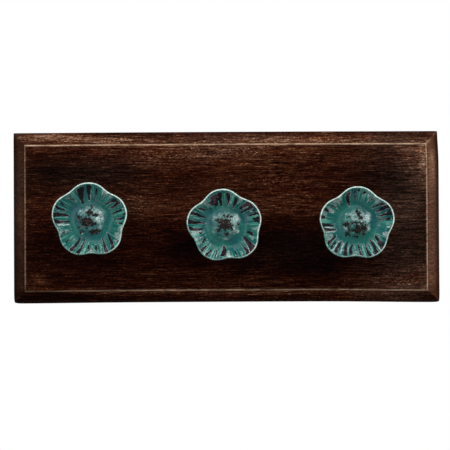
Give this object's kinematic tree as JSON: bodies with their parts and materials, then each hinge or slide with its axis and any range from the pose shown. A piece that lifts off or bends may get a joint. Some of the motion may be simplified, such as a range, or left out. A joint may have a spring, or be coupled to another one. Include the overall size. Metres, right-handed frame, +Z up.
{
  "type": "wall hook board",
  "caption": "Moulded dark-stained wooden board with a row of flower-shaped glazed ceramic knobs, for hanging light things on a wall. It hangs on hidden keyhole plates.",
  "frame": {"origin": "on the board's back face, midway between the seats of the keyhole slots, 24 mm below the board's top edge", "axes": "+X to the right along the board's length as seen from the front, +Z up the wall, -Y out from the wall towards the viewer, so the board's back looks along +Y"},
  "size_m": [0.254, 0.0526, 0.1016],
  "materials": {
    "dark_walnut_stained_wood": "dark walnut stain under a thin satin coat, worn pale along the edges",
    "turquoise_glaze": "glossy turquoise glaze with dark radial streaks, a pale rim and a pale mottled centre",
    "antique_brass": "darkened and rubbed",
    "zinc_plated_steel": "bright zinc plate, satin"
  },
  "bodies": {
    "root": {"backboard": "dark_walnut_stained_wood", "flower_knob_left": "turquoise_glaze", "flower_knob_centre": "turquoise_glaze", "flower_knob_right": "turquoise_glaze", "knob_base_left": "antique_brass", "knob_base_centre": "antique_brass", "knob_base_right": "antique_brass", "knob_stud_left": "zinc_plated_steel", "knob_stud_centre": "zinc_plated_steel", "knob_stud_right": "zinc_plated_steel", "knob_washer_left": "zinc_plated_steel", "knob_washer_centre": "zinc_plated_steel", "knob_washer_right": "zinc_plated_steel", "knob_nut_left": "zinc_plated_steel", "knob_nut_centre": "zinc_plated_steel", "knob_nut_right": "zinc_plated_steel", "keyhole_plate_left": "zinc_plated_steel", "plate_screw_left_upper": "zinc_plated_steel", "plate_screw_left_lower": "zinc_plated_steel", "keyhole_plate_right": "zinc_plated_steel", "plate_screw_right_upper": "zinc_plated_steel", "plate_screw_right_lower": "zinc_plated_steel"}
  },
  "joints": []
}
